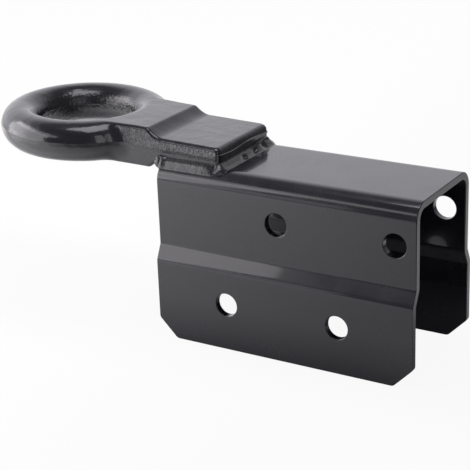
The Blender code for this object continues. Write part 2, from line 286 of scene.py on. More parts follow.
# Lunette eye: a steel drop forging in black gloss, parted on one level all round, where a trimmed
# line of flash is left. Its round eye runs into a flat shank, and the tail is laid on the channel.
EYE_REACH = 79.5 * MM
EYE_X = FRONT_X - EYE_REACH
EYE_RADIUS = 44.04 * MM
STOCK_RADIUS = 13.1 * MM
FLASH_STAND = 0.14 * MM
PARTING_RISE = 2.4 * MM
PARTING_DROP = 0.9 * MM
EYE_RISE = 8.7 * MM
EYE_PITCH = math.radians(1.5)
SHANK_HALF = 31.0 * MM
SHANK_BLEND = 16.0 * MM
EDGE_ROUND = 2.5 * MM
UPPER_DRAFT = math.radians(8.0)
LOWER_DRAFT = math.radians(4.0)
STEP_FRONT_X = FRONT_X - 11.2 * MM
STEP_LENGTH = 8.0 * MM
SLOPE_LENGTH = 10.4 * MM
STEP_SOFTNESS = 0.13
CREST_SOFTNESS = 0.07
TAIL_END_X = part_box("lunette_eye")[1].x
TAIL_SEAT = PLATE_TOP + 0.3 * MM
TAIL_END_THICKNESS = 12.9 * MM
TAIL_CORNER = 3.0 * MM
TAIL_PARTING = 8.6 * MM
END_FLASH = 0.35 * MM
PARTING_WAVE = 0.6 * MM
PARTING_WAVE_PITCH = 43.0 * MM
PARTING_WAVE_CREST = 7.0 * MM
# Stretch past the eye's centre in which the round stock becomes a drafted shank
SHANK_BEGINS = (42.0 * MM, 60.0 * MM)
# Distances from the tail's end at which its wave, its higher parting and its draft begin and are full
WAVE_BEGINS = (7.0 * MM, 2.0 * MM)
END_RISE_BEGINS = (7.0 * MM, 1.0 * MM)
END_DRAFT_BEGINS = (8.0 * MM, 2.0 * MM)
EYE_ARC_STEPS = 64
SECTION_TURNS = 14
TAIL_END_STEPS = 12
TAIL_CORNER_STEPS = 8
BLEND_STEPS = 12
BORE_FRONT_STEPS = 14
FORGING_BLACK = (0.0100, 0.0096, 0.0140)
THIN_PAINT_GREY = (0.125, 0.122, 0.128)
# The bore's rough wall by its distance from the centre; the hammered sides by how squarely they
# face sideways, their height over the parting and their distance past the eye's centre
BORE_WALL = (33.5 * MM, 36.5 * MM)
SCALE_FACING = (0.88, 0.96)
SCALE_HEIGHT = (-2.2 * MM, 0.2 * MM)
SCALE_BEGINS = (47.0 * MM, 58.0 * MM)
# Depth of each texture of the forging's surface
SWELL_DEPTH = 0.40 * MM
SCALE_MARK_DEPTH = 0.05 * MM
STREAK_DEPTH = 1.2 * MM
PITTING_DEPTH = 0.30 * MM
BORE_MARK_DEPTH = 0.45 * MM


def eased(value, low, high):
    """0 below the low value, 1 over the high one, with a smooth rise between."""
    share = min(max((value - low) / (high - low), 0.0), 1.0)
    return share * share * (3 - 2 * share)


def draw_line(bm, tip, x, y):
    """Extrudes an outline's last point to a new place at the same height."""
    end = bmesh.ops.extrude_vert_indiv(bm, verts=[tip])["verts"][0]
    end.co = (x, y, tip.co.z)
    return end


def draw_arc(bm, tip, centre, angle, steps):
    """Spins an outline's last point round a centre."""
    swept = bmesh.ops.spin(bm, geom=[tip], cent=(*centre, tip.co.z), axis=(0, 0, 1),
                           angle=angle, steps=steps)
    return next(item for item in swept["geom_last"] if isinstance(item, bmesh.types.BMVert))


def swell(height, flash):
    """How far the round stock stands out from its centre line at a height over that line."""
    return STOCK_RADIUS * math.sqrt(max(1 - (height / STOCK_RADIUS) ** 2, 0)) + FLASH_STAND * flash


def side_inset(height, flash):
    """How far the shank's side stands in from the flash: a step, and the rounded edge."""
    inset = FLASH_STAND * (1 - flash)
    rounding = abs(height) - (STOCK_RADIUS - EDGE_ROUND)
    if rounding > 0:
        inset += EDGE_ROUND - math.sqrt(max(EDGE_ROUND ** 2 - rounding ** 2, 0))
    return inset


def blend_turn(ring, half_width):
    """Direction from the eye's centre at which the eye leaves its blend into the shank's side."""
    return math.asin((half_width + SHANK_BLEND) / (ring + SHANK_BLEND))


def both_halves(bm, draw):
    """Draws half a level with the given function, mirrors it and returns the loop's edges."""
    known = set(bm.edges)
    draw(bm)
    half = [e for e in bm.edges if e not in known]
    points = list({v for e in half for v in e.verts})
    bmesh.ops.mirror(bm, geom=points + half, matrix=Matrix.Identity(4), merge_dist=1e-6, axis="Y")
    return [e for e in bm.edges if e not in known]


def outer_level(height, flash):
    """The forging's outline at a height: tail end, corner, side, blend and round nose."""
    ring = EYE_RADIUS + swell(height, flash)
    inset = side_inset(height, flash)
    half_width = SHANK_HALF - inset
    end = EYE_REACH + (TAIL_END_X - FRONT_X) - inset
    leave = blend_turn(ring, half_width)
    blend_x = (ring + SHANK_BLEND) * math.cos(leave)

    def draw(bm):
        tip = bm.verts.new((end, 0, height))
        for i in range(1, TAIL_END_STEPS + 1):
            tip = draw_line(bm, tip, end, (half_width - TAIL_CORNER) * i / TAIL_END_STEPS)
        corner = (end - TAIL_CORNER, half_width - TAIL_CORNER)
        tip = draw_arc(bm, tip, corner, math.pi / 2, TAIL_CORNER_STEPS)
        tip = draw_line(bm, tip, blend_x, half_width)
        blend = (blend_x, half_width + SHANK_BLEND)
        tip = draw_arc(bm, tip, blend, leave - math.pi / 2, BLEND_STEPS)
        draw_arc(bm, tip, (0, 0), math.pi - leave, EYE_ARC_STEPS)
    return draw


def bore_level(height, flash):
    """The bore's circle at a height, with its points on the same rays as the eye's crown."""
    radius = EYE_RADIUS - swell(height, flash)
    crown_leave = blend_turn(EYE_RADIUS, SHANK_HALF - side_inset(STOCK_RADIUS, 0))

    def draw(bm):
        tip = bm.verts.new((radius, 0, height))
        tip = draw_arc(bm, tip, (0, 0), crown_leave, BORE_FRONT_STEPS)
        draw_arc(bm, tip, (0, 0), math.pi - crown_leave, EYE_ARC_STEPS)
    return draw


# Height over the parting and share of the stand at each level of the flash, from the lower root up
FLASH_LEVELS = ((-0.65 * MM, 0.0), (-0.35 * MM, 1.0), (0.10 * MM, 1.0), (0.32 * MM, 0.0))


def near_tail_end(x, distances):
    """Rises from 0 to 1 between two distances from the tail's end."""
    return eased(x, TAIL_END_X - distances[0], TAIL_END_X - distances[1])


def forged(place):
    """Where a point of the flat, straight-sided form lands once drafted and drawn down at the tail."""
    x, y, height = place
    middle = PLATE_TOP + EYE_RISE - (x - EYE_X) * math.tan(EYE_PITCH)
    along = (x - STEP_FRONT_X) / STEP_LENGTH
    step = (1 + math.hypot(along, STEP_SOFTNESS) - math.hypot(along - 1, STEP_SOFTNESS)) / 2
    bottom = (middle - STOCK_RADIUS) * (1 - step) + TAIL_SEAT * step
    down = (x - STEP_FRONT_X) / SLOPE_LENGTH
    down = min((down + math.hypot(down, CREST_SOFTNESS)) / 2, 1.0)
    sweep_down = 1 - (1 - down) ** 2
    tail_top = TAIL_SEAT + TAIL_END_THICKNESS + (TAIL_END_X - x) * math.tan(EYE_PITCH)
    top = (middle + STOCK_RADIUS) * (1 - sweep_down) + tail_top * sweep_down
    shank = eased(x - EYE_X, *SHANK_BEGINS)
    wave = math.cos(2 * math.pi * (y - PARTING_WAVE_CREST) / PARTING_WAVE_PITCH)
    wave *= near_tail_end(x, WAVE_BEGINS)
    at_end = near_tail_end(x, END_RISE_BEGINS)
    parting = middle + PARTING_RISE - PARTING_DROP * shank
    parting += (PLATE_TOP + TAIL_PARTING + PARTING_WAVE * wave - parting) * at_end
    height -= PARTING_RISE
    reach = STOCK_RADIUS - PARTING_RISE if height > 0 else STOCK_RADIUS + PARTING_RISE
    half = top - parting if height > 0 else parting - bottom
    flash_root = abs(FLASH_LEVELS[-1 if height > 0 else 0][0])
    core = reach - EDGE_ROUND
    away = abs(height)
    if away > core:
        away = half - (reach - away)
    elif away > flash_root:
        away = flash_root + (half - EDGE_ROUND - flash_root) * (away - flash_root) / (core - flash_root)
    inset = away * math.tan(UPPER_DRAFT if height > 0 else LOWER_DRAFT) * shank
    over_flash = eased(height, FLASH_LEVELS[2][0], FLASH_LEVELS[3][0])
    under_flash = eased(-height, -FLASH_LEVELS[1][0], -FLASH_LEVELS[0][0])
    off_flash = max(over_flash, under_flash)
    y *= 1 - (inset - FLASH_STAND * off_flash * shank) / SHANK_HALF
    inset += END_FLASH * off_flash
    x -= inset * near_tail_end(x, END_DRAFT_BEGINS)
    return x, y, parting + math.copysign(away, height)


def stock_levels():
    """The forging's levels from bottom to top: height over the stock's middle, share of flash."""
    turns = [math.pi / 2 * i / SECTION_TURNS for i in range(-SECTION_TURNS, SECTION_TURNS + 1)]
    heights = [STOCK_RADIUS * math.sin(turn) for turn in turns]
    flash = [(PARTING_RISE + over, share) for over, share in FLASH_LEVELS]
    plain = [(h, 0.0) for h in heights if h < flash[0][0] - 0.3 * MM or h > flash[-1][0] + 0.3 * MM]
    return sorted(plain + flash)


def step_cuts():
    """Places along the forging that are scored, close together at the step and at the tail's end."""
    cuts = [STEP_FRONT_X + 0.35 * MM * i for i in range(-5, 6)]
    cuts += [STEP_FRONT_X + 1.75 * MM + 0.8 * MM * i for i in range(1, 14)]
    cuts += [EYE_X + 52 * MM, EYE_X + 56 * MM, EYE_X + 60 * MM]
    cuts += [FRONT_X + 6 * MM * i for i in range(1, 7)]
    return cuts + [TAIL_END_X - 5 * MM, TAIL_END_X - 3.5 * MM]


def eye_forging():
    """The whole forging: stacked outlines and bore circles, capped, scored, then drafted and stepped."""
    bm = bmesh.new()
    for level in (outer_level, bore_level):
        loops = [both_halves(bm, level(height, flash)) for height, flash in stock_levels()]
        for lower, upper in zip(loops, loops[1:]):
            bmesh.ops.bridge_loops(bm, edges=lower + upper)
    bmesh.ops.remove_doubles(bm, verts=bm.verts, dist=0.002 * MM)
    rims = [e for e in bm.edges if e.is_boundary]
    bmesh.ops.contextual_create(bm, geom=[e for e in rims if e.verts[0].co.z > 0])
    bmesh.ops.contextual_create(bm, geom=[e for e in rims if e.verts[0].co.z < 0])
    bmesh.ops.translate(bm, verts=bm.verts, vec=(EYE_X, 0, 0))
    for x in step_cuts():
        cut_across(bm, (x, 0, 0), (1, 0, 0))
    for vert in bm.verts:
        vert.co = forged(vert.co)
    bmesh.ops.recalc_face_normals(bm, faces=bm.faces)
    return bm


def product(nodes, links, first, second):
    """Two node values multiplied."""
    times = nodes.new("ShaderNodeMath")
    times.operation = "MULTIPLY"
    links.new(first, times.inputs[0])
    links.new(second, times.inputs[1])
    return times.outputs[0]


def bore_mask(nodes, links, place):
    """1 on the eye's inner wall, which is left rougher than its outside."""
    flat = nodes.new("ShaderNodeVectorMath")
    flat.operation = "MULTIPLY_ADD"
    flat.inputs[1].default_value = (1, 1, 0)
    flat.inputs[2].default_value = (-EYE_X, 0, 0)
    links.new(place, flat.inputs[0])
    reach = nodes.new("ShaderNodeVectorMath")
    reach.operation = "LENGTH"
    links.new(flat.outputs["Vector"], reach.inputs[0])
    return spread(nodes, links, reach.outputs["Value"], *BORE_WALL, 1, 0)


def side_scale_mask(nodes, links, place):
    """1 on the shank's and tail's flat sides over the parting, where the hammered scale is left."""
    axes = nodes.new("ShaderNodeSeparateXYZ")
    links.new(place, axes.inputs[0])
    pitched = nodes.new("ShaderNodeVectorMath")
    pitched.operation = "DOT_PRODUCT"
    pitched.inputs[1].default_value = (math.tan(EYE_PITCH), 0, 1)
    links.new(place, pitched.inputs[0])
    facing = nodes.new("ShaderNodeSeparateXYZ")
    links.new(nodes.new("ShaderNodeTexCoord").outputs["Normal"], facing.inputs[0])
    aside = nodes.new("ShaderNodeMath")
    aside.operation = "ABSOLUTE"
    links.new(facing.outputs["Y"], aside.inputs[0])
    parting = PLATE_TOP + EYE_RISE + EYE_X * math.tan(EYE_PITCH) + PARTING_RISE - PARTING_DROP
    heights = [parting + over for over in SCALE_HEIGHT]
    places = [EYE_X + past for past in SCALE_BEGINS]
    gates = [spread(nodes, links, aside.outputs[0], *SCALE_FACING, 0, 1),
             spread(nodes, links, pitched.outputs["Value"], *heights, 0, 1),
             spread(nodes, links, axes.outputs["X"], *places, 0, 1)]
    mask = gates[0]
    for gate in gates[1:]:
        mask = product(nodes, links, mask, gate)
    return mask


def forging_paint():
    """Black gloss over hammered steel, thin and rough on the shank's sides and marked in the bore."""
    material, nodes, links, shader, place = paint_nodes("forging_black_gloss", FORGING_BLACK, 0.24, 0.06)
    scaled = side_scale_mask(nodes, links, place)
    bored = bore_mask(nodes, links, place)
    mottling = noise_field(nodes, links, place, 60, 3)
    smooth_part = spread(nodes, links, mottling, 0.35, 0.65, 0.20, 0.30)
    rough_part = spread(nodes, links, scaled, 0, 1, 0.0, 0.16)
    total = nodes.new("ShaderNodeMath")
    links.new(smooth_part, total.inputs[0])
    links.new(rough_part, total.inputs[1])
    links.new(total.outputs[0], shader.inputs["Roughness"])
    swells = noise_field(nodes, links, place, 70)
    scale_marks = noise_field(nodes, links, place, 420, 3, 0.55)
    streaks = product(nodes, links, noise_field(nodes, links, place, 900, 2, 0.5, (1, 1, 0.45)), scaled)
    pitting = product(nodes, links, noise_field(nodes, links, place, 2600, 2), scaled)
    worn = product(nodes, links, noise_field(nodes, links, place, 700, 3, 0.6, (0.5, 1, 1)), scaled)
    thin_paint = nodes.new("ShaderNodeMix")
    thin_paint.data_type = "RGBA"
    thin_paint.inputs["A"].default_value = shader.inputs["Base Color"].default_value
    thin_paint.inputs["B"].default_value = (*THIN_PAINT_GREY, 1)
    links.new(spread(nodes, links, worn, 0.30, 0.70, 0, 1), thin_paint.inputs["Factor"])
    links.new(thin_paint.outputs["Result"], shader.inputs["Base Color"])
    bore_marks = product(nodes, links, noise_field(nodes, links, place, 500, 3), bored)
    wire_bumps(nodes, links, shader, [(swells, SWELL_DEPTH), (scale_marks, SCALE_MARK_DEPTH),
                                      (streaks, STREAK_DEPTH), (pitting, PITTING_DEPTH),
                                      (bore_marks, BORE_MARK_DEPTH)])
    return material


eye = piece_from(eye_forging(), "eye_forging", math.radians(30))
eye.modifiers.new("even_shading", "WEIGHTED_NORMAL").keep_sharp = True
eye.data.materials.append(forging_paint())
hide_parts("lunette_eye")
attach(eye, "root")

# Side welds: one steel fillet along each side of the tail, from the channel's front edge to the
# tail's corner. It is washed into the tail, and its fat lower edge lies on the channel's bend.
SIDE_START = FRONT_X - 0.6 * MM
SIDE_LENGTH = TAIL_END_X - TAIL_CORNER - SIDE_START
BEAD_STEP = 0.45 * MM
BEAD_FACE_STEPS = 26
RIPPLE_PITCH = 1.9 * MM
# Sections as (out from the tail's side, up from the plate's flat top) in mm: along most of the run,
# where it starts and where it runs out
SIDE_FAT = ((-0.9, 3.7), (-0.1, 3.3), (0.6, 2.7), (1.3, 2.1),
            (2.0, 1.45), (2.8, 0.0), (3.5, -1.65), (4.1, -3.3))
SIDE_FULL = ((-0.9, 3.9), (0.3, 3.75), (1.4, 3.2), (2.3, 2.3),
             (3.0, 1.0), (3.5, -0.4), (3.85, -1.9), (4.1, -3.3))
SIDE_THIN = ((-0.9, 3.3), (-0.2, 2.7), (0.1, 1.5), (0.6, 0.2),
             (1.4, -0.8), (2.2, -1.5), (3.1, -2.3), (3.9, -3.3))
SIDE_FULL_UNTIL = (1.6 * MM, 5.2 * MM)
SIDE_THINNING = 8.5 * MM
RIPPLE_LIFT = 0.018 * MM
LUMP_LIFT = 0.03 * MM
LUMP_SIZE = 2.4 * MM
WANDER = 0.02
WANDER_SIZE = 4 * MM
WELD_BLACK = (0.0150, 0.0146, 0.0185)
RIPPLE_DEPTH = 0.05 * MM
SPATTER_DEPTH = 0.18 * MM
# Where the noise is read for each bead, so that no two beads are alike
SIDE_SEEDS = {-1: 5.7, 1: 16.3}


def lumps(along, across, seed, size):
    """Slow wander of a hand-laid bead, between -1 and 1, in its run's own length."""
    return noise.noise(Vector((along / size, across, seed)))


def round_end(from_end, reach):
    """Share of the full bead near its end, which closes in a quarter round."""
    if from_end >= reach:
        return 1.0
    return math.sqrt(max(1 - (1 - max(from_end, 0) / reach) ** 2, 0.0))


def plate_top(y):
    """Height of the channel's top face at a distance from the middle, over the bend as well."""
    over = abs(y) - BEND_Y
    if over <= 0:
        return PLATE_TOP
    return PLATE_TOP - OUTER_BEND + math.sqrt(max(OUTER_BEND ** 2 - min(over, OUTER_BEND) ** 2, 0.0))


def curve_through(points, share):
    """A smooth curve through evenly spaced points, read at a share of its run."""
    place = min(share * (len(points) - 1), len(points) - 1.0001)
    i = int(place)
    t = place - i
    around = [Vector(points[min(max(i + k, 0), len(points) - 1)]) for k in (-1, 0, 1, 2)]
    before, start, end, after = around
    return (start * 2 + (end - before) * t + (before * 2 - start * 5 + end * 4 - after) * t * t
            + (start * 3 - before - end * 3 + after) * t ** 3) / 2


def fillet_section(foot, outward, outline, along, seed, roughness):
    """One section of a fillet between tail and channel: its face from toe to toe, then its root."""
    section = []
    for i in range(BEAD_FACE_STEPS + 1):
        share = i / BEAD_FACE_STEPS
        out, up = curve_through(outline, share) * MM
        before = curve_through(outline, max(share - 0.03, 0))
        after = curve_through(outline, min(share + 0.03, 1))
        facing = Vector((before.y - after.y, after.x - before.x)).normalized()
        ripple = math.sin(2 * math.pi * (along / RIPPLE_PITCH - 0.30 * math.cos(math.pi * share)))
        lift = RIPPLE_LIFT * ripple + LUMP_LIFT * lumps(along, share * 2.6, seed, LUMP_SIZE)
        lift *= math.sin(math.pi * share) * roughness
        section.append(foot + outward * (out + facing.x * lift) + Vector((0, 0, up + facing.y * lift)))
    lower = section[-1]
    inside = foot - outward * (1.6 * MM)
    section.append(Vector((lower.x, lower.y, lower.z - 0.5 * MM)) - outward * (0.6 * MM))
    section.append(Vector((inside.x, inside.y, plate_top(inside.y) - 0.5 * MM)))
    return section


def blended_outline(first, second, share):
    """Points part of the way from one section outline to another."""
    return [Vector(a).lerp(Vector(b), share) for a, b in zip(first, second)]


def bead_mesh(sections):
    """Extrudes the first section's outline through all the others and closes both ends."""
    bm = bmesh.new()
    ring = [bm.verts.new(point) for point in sections[0]]
    edges = [bm.edges.new((ring[i - 1], ring[i])) for i in range(len(ring))]
    bmesh.ops.contextual_create(bm, geom=edges)
    for section in sections[1:]:
        moved = bmesh.ops.extrude_edge_only(bm, edges=edges)["geom"]
        edges = [item for item in moved if isinstance(item, bmesh.types.BMEdge)]
        ring = walk_ring(edges, ring)
        for vert, point in zip(ring, section):
            vert.co = point
    bmesh.ops.contextual_create(bm, geom=edges)
    bmesh.ops.recalc_face_normals(bm, faces=bm.faces)
    return bm


def walk_ring(edges, previous):
    """The new ring's points in the order of the ring that they were extruded from."""
    fresh = {v for e in edges for v in e.verts}
    return [next(e.other_vert(old) for e in old.link_edges if e.other_vert(old) in fresh)
            for old in previous]


def weld_paint():
    """Black gloss over weld beads, with fine ripples and spatter under it."""
    material, nodes, links, shader, place = paint_nodes("weld_black_gloss", WELD_BLACK, 0.30, 0.10)
    mottling = noise_field(nodes, links, place, 160, 3)
    links.new(spread(nodes, links, mottling, 0.3, 0.7, 0.22, 0.34), shader.inputs["Roughness"])
    spatter = noise_field(nodes, links, place, 900, 3)
    ripples = noise_field(nodes, links, place, 420, 2, 0.5, (2.2, 0.7, 0.7))
    wire_bumps(nodes, links, shader, [(ripples, RIPPLE_DEPTH), (spatter, SPATTER_DEPTH)])
    return material


def side_bead(side):
    """One side fillet: full where it starts, hollow along the tail, thin where it runs out."""
    sections = []
    steps = round(SIDE_LENGTH / BEAD_STEP)
    outward = Vector((0, side, 0))
    for i in range(steps + 1):
        along = SIDE_LENGTH * i / steps
        thin = 1 - round_end(SIDE_LENGTH - along - 1.0 * MM, SIDE_THINNING)
        front = round_end(along + 0.5 * MM, 2.0 * MM)
        foot = Vector((SIDE_START + along, side * SHANK_HALF, PLATE_TOP))
        outline = blended_outline(SIDE_FULL, SIDE_FAT, eased(along, *SIDE_FULL_UNTIL))
        outline = blended_outline(outline, SIDE_THIN, max(thin, 1 - front))
        wander = 1 + WANDER * lumps(along, 6.1, SIDE_SEEDS[side], WANDER_SIZE)
        outline = [Vector((p.x * wander, p.y * wander if p.y > 0 else p.y)) for p in outline]
        sections.append(fillet_section(foot, outward, outline, along, SIDE_SEEDS[side], 1 - 0.8 * thin))
    return bead_mesh(sections)


weld_finish = weld_paint()
for side, name, node in ((-1, "near_side_bead", "side_weld_left"), (1, "far_side_bead", "side_weld_right")):
    bead = piece_from(side_bead(side), name, math.radians(60))
    bead.data.materials.append(weld_finish)
    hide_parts(node)
    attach(bead, "root")

# Rear weld: a flat steel fillet round the tail's end, from corner to corner, with a few gas pits
# left in its face. Each corner is capped by a thick dab where the run was started.
REAR_SECTION = ((-1.3, 3.8), (0.2, 3.1), (1.2, 2.3), (2.3, 1.25), (3.4, 0.62), (4.5, 0.15), (5.5, -0.15))
REAR_FAR_SECTION = ((-1.3, 6.2), (-0.1, 5.8), (0.5, 5.35), (0.75, 4.1), (2.1, 2.7), (4.0, 0.75),
                    (5.5, -0.15))
FAR_RISE = (5.0 * MM, 21.0 * MM)
CORNER_SECTION = ((-1.3, 4.2), (0.4, 3.2), (1.6, 2.35), (2.6, 1.6), (3.5, 0.85), (4.4, -0.3), (5.3, -2.0))
CORNER_DAB_TURN = math.radians(47.0)
CORNER_DAB_SPREAD = math.radians(33.0)
# Each gas pit's place across the tail, and its share of the way down the bead's face
REAR_PITS = ((-4.8 * MM, 0.50), (8.6 * MM, 0.52), (19.0 * MM, 0.66))
PIT_HALF_LENGTH = 2.1 * MM
PIT_HALF_WIDTH = 0.17
PIT_DEPTH = 1.15 * MM
PIT_DOWN = Vector((0.5, 0, 0.86))
REAR_START_SHARE = 0.45
REAR_START_TURN = math.radians(16.0)
REAR_CORNER_STEPS = 18
REAR_SEED = 31.0


def rear_path():
    """Feet of the rear weld round the tail's end: point, outward direction and turn from the side."""
    corner_x = TAIL_END_X - TAIL_CORNER
    corner_y = SHANK_HALF - TAIL_CORNER
    corners = []
    for side in (-1, 1):
        corner = []
        middle = Vector((corner_x, side * corner_y, PLATE_TOP))
        for i in range(REAR_CORNER_STEPS + 1):
            turn = math.pi / 2 * i / REAR_CORNER_STEPS
            outward = Vector((math.sin(turn), side * math.cos(turn), 0))
            corner.append((middle + outward * TAIL_CORNER, outward, turn))
        corners.append(corner)
    near, far = corners
    steps = round(2 * corner_y / BEAD_STEP)
    across = [(near[-1][0].lerp(far[-1][0], i / steps), Vector((1, 0, 0)), math.pi / 2)
              for i in range(1, steps)]
    return near + across + far[::-1]


def past_corner(foot, turn):
    """0 on the tail's straight end, rising to 1 at its rounded corners."""
    if turn < math.radians(89):
        return 1.0
    return max(abs(foot.y) - (SHANK_HALF - TAIL_CORNER - 4 * MM), 0) / (4 * MM)


def rear_bead():
    """The fillet round the tail's end, with its corner dabs, raised far lip and gas pits."""
    sections = []
    path = rear_path()
    along = 0.0
    for i, (foot, outward, turn) in enumerate(path):
        if i:
            along += (foot - path[i - 1][0]).length + (outward - path[i - 1][1]).length * TAIL_CORNER
        from_dab = abs(turn - CORNER_DAB_TURN)
        dab = math.exp(-(from_dab / CORNER_DAB_SPREAD) ** 2) * past_corner(foot, turn)
        rise = eased(foot.y, *FAR_RISE) * eased(turn, math.radians(50), math.radians(88))
        outline = blended_outline(REAR_SECTION, REAR_FAR_SECTION, rise)
        outline = blended_outline(outline, CORNER_SECTION, dab)
        start = min(1.0, REAR_START_SHARE + turn / REAR_START_TURN)
        outline = [Vector((p.x * start if p.x > 0 else p.x, p.y)) for p in outline]
        ground = [(plate_top(foot.y + outward.y * p.x * MM) - PLATE_TOP) / MM - 0.15 for p in outline]
        outline = [Vector((p.x, max(p.y, low))) for p, low in zip(outline, ground)]
        section = fillet_section(foot, outward, outline, along, REAR_SEED, 0.6 - 0.45 * dab)
        for pit_y, pit_share in REAR_PITS:
            near_pit = math.exp(-((foot.y - pit_y) / PIT_HALF_LENGTH) ** 2)
            for k in range(BEAD_FACE_STEPS + 1):
                across_pit = math.exp(-((k / BEAD_FACE_STEPS - pit_share) / PIT_HALF_WIDTH) ** 2)
                section[k] -= PIT_DOWN * (PIT_DEPTH * near_pit * across_pit)
        sections.append(section)
    return bead_mesh(sections)


rear = piece_from(rear_bead(), "rear_bead", math.radians(60))
rear.data.materials.append(weld_finish)
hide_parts("rear_weld")
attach(rear, "root")

# Front weld: a steel bead that fills the groove between the shank's step and the channel's front
# edge. It wraps up round the front corners of the bend, where it ends in a rounded curl.
GROOVE_DOWN = 4.4 * MM
GROOVE_AHEAD = 6.2 * MM
GROOVE_HALF = 27.0 * MM
GROOVE_BULGE = 0.7 * MM
GROOVE_RIPPLE = 0.12 * MM
GROOVE_LUMP = 0.25 * MM
GROOVE_LUMP_SIZE = 2.6 * MM
CURL_Y = 34.2 * MM
CURL_HALF_LENGTH = 3.9 * MM
CURL_HALF_HEIGHT = 4.3 * MM
CURL_MIDDLE = Vector((FRONT_X - 1.6 * MM, 0, PLATE_TOP - 0.3 * MM))
FRONT_FACE_STEPS = 22
FRONT_SEED = 41.0


def groove_section(y, along):
    """The bead's section in the groove, as points from the shank's underside round to the root."""
    def under_shank(x):
        """Height just inside the shank's underside."""
        return forged((x, 0, -STOCK_RADIUS))[2] + 0.15 * MM

    toe_x = FRONT_X - GROOVE_AHEAD * (1 + 0.06 * lumps(along, 5.0, FRONT_SEED, WANDER_SIZE))
    toe = Vector((toe_x, y, under_shank(toe_x)))
    down = GROOVE_DOWN * (1 + 0.08 * lumps(along, 9.0, FRONT_SEED, WANDER_SIZE))
    foot = Vector((FRONT_X + 0.1 * MM, y, PLATE_TOP - down))
    chord = foot - toe
    lean = Vector((chord.z, 0, -chord.x)).normalized()
    if lean.z > 0:
        lean = -lean
    points = []
    for i in range(FRONT_FACE_STEPS + 1):
        share = i / FRONT_FACE_STEPS
        ripple = math.sin(2 * math.pi * (along / RIPPLE_PITCH - 0.35 * math.cos(math.pi * share)))
        lift = GROOVE_BULGE + GROOVE_RIPPLE * ripple
        lift += GROOVE_LUMP * lumps(along, share * 2.0, FRONT_SEED, GROOVE_LUMP_SIZE)
        points.append(toe + chord * share + lean * lift * math.sin(math.pi * share))
    points.append(Vector((FRONT_X + 0.1 * MM, y, PLATE_TOP - 0.2 * MM)))
    points.append(Vector((FRONT_X + 0.1 * MM, y, under_shank(FRONT_X))))
    knee_x = (toe_x + FRONT_X) / 2
    points.append(Vector((knee_x, y, under_shank(knee_x) + 0.2 * MM)))
    return points


def curl_section(y, scale, count):
    """A rounded section with as many points, starting where the groove's section starts."""
    points = []
    for i in range(count):
        turn = math.radians(150) + 2 * math.pi * i / count
        points.append(CURL_MIDDLE + Vector((CURL_HALF_LENGTH * scale * math.cos(turn), y,
                                            CURL_HALF_HEIGHT * scale * math.sin(turn))))
    return points


def front_bead():
    """The bead in the groove, which turns into a curl past the shank's sides."""
    sections = []
    steps = round(2 * CURL_Y / BEAD_STEP)
    for i in range(steps + 1):
        y = -CURL_Y + 2 * CURL_Y * i / steps
        groove = groove_section(max(-GROOVE_HALF, min(GROOVE_HALF, y)), y + CURL_Y)
        groove = [Vector((p.x, y, p.z)) for p in groove]
        share = eased(abs(y), GROOVE_HALF, SHANK_HALF - 0.5 * MM)
        scale = max(round_end(CURL_Y - abs(y), CURL_Y - SHANK_HALF), 0.12)
        curl = curl_section(y, scale, len(groove))
        sections.append([g.lerp(c, share) for g, c in zip(groove, curl)])
    return bead_mesh(sections)


front = piece_from(front_bead(), "front_bead", math.radians(60))
front.data.materials.append(weld_finish)
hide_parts("front_weld")
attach(front, "root")

# Floor: a white table with painted light in its colour, lighter at its left end and darker past its front
# corner and its right end, and with a painted glow that is turned off under the bracket as painted shade.
# The camera sees it nearly white all round, and it keeps a faint shadow.
CAMERA_SHARE = 0.93
TABLE_CORNER_AZIMUTH = math.radians(-58)
TABLE_CORNER_REACH = (0.28, 0.52)
TABLE_LEFT_RIGHT = (-0.18, 0.10)
TABLE_END_X = (0.26, 0.40)
PAINTED_GLOW_LEVEL = 0.45
PAINTED_GLOW_ASIDE = (0.045, 0.10)

floor_mesh = bmesh.new()
bmesh.ops.create_grid(floor_mesh, x_segments=1, y_segments=1, size=6.0)
floor = piece_from(floor_mesh, "studio_floor")
floor_material = bpy.data.materials.new("white_table_painted_light")
floor_material.use_nodes = True
floor_nodes = floor_material.node_tree.nodes
floor_links = floor_material.node_tree.links
floor_shader = floor_nodes["Principled BSDF"]
floor_place = floor_nodes.new("ShaderNodeSeparateXYZ")
floor_links.new(floor_nodes.new("ShaderNodeTexCoord").outputs["Object"], floor_place.inputs[0])
# Painted light in the floor's colour: lighter at the table's left end, darker past its front corner and
# past its right end.
along_table = spread(floor_nodes, floor_links, floor_place.outputs["X"], *TABLE_LEFT_RIGHT, 0.88, 0.50)
corner_lean = floor_nodes.new("ShaderNodeVectorMath")
corner_lean.operation = "DOT_PRODUCT"
corner_lean.inputs[1].default_value = (math.cos(TABLE_CORNER_AZIMUTH), math.sin(TABLE_CORNER_AZIMUTH), 0)
floor_links.new(floor_nodes.new("ShaderNodeTexCoord").outputs["Object"], corner_lean.inputs[0])
onto_table = spread(floor_nodes, floor_links, corner_lean.outputs["Value"], *TABLE_CORNER_REACH, 1.0, 0.14)
off_table = spread(floor_nodes, floor_links, floor_place.outputs["X"], *TABLE_END_X, 1.0, 0.22)
table_corner = product(floor_nodes, floor_links, along_table, onto_table)
painted_light_falloff = product(floor_nodes, floor_links, table_corner, off_table)
floor_links.new(painted_light_falloff, floor_shader.inputs["Base Color"])
aside = floor_nodes.new("ShaderNodeMath")
aside.operation = "ABSOLUTE"
floor_links.new(floor_place.outputs["Y"], aside.inputs[0])
# Painted shade: the painted glow fades out near the middle line, under the bracket.
outside_painted_shade = spread(floor_nodes, floor_links, aside.outputs[0], *PAINTED_GLOW_ASIDE, 0.0, 1.0)
glow = product(floor_nodes, floor_links, painted_light_falloff, outside_painted_shade)
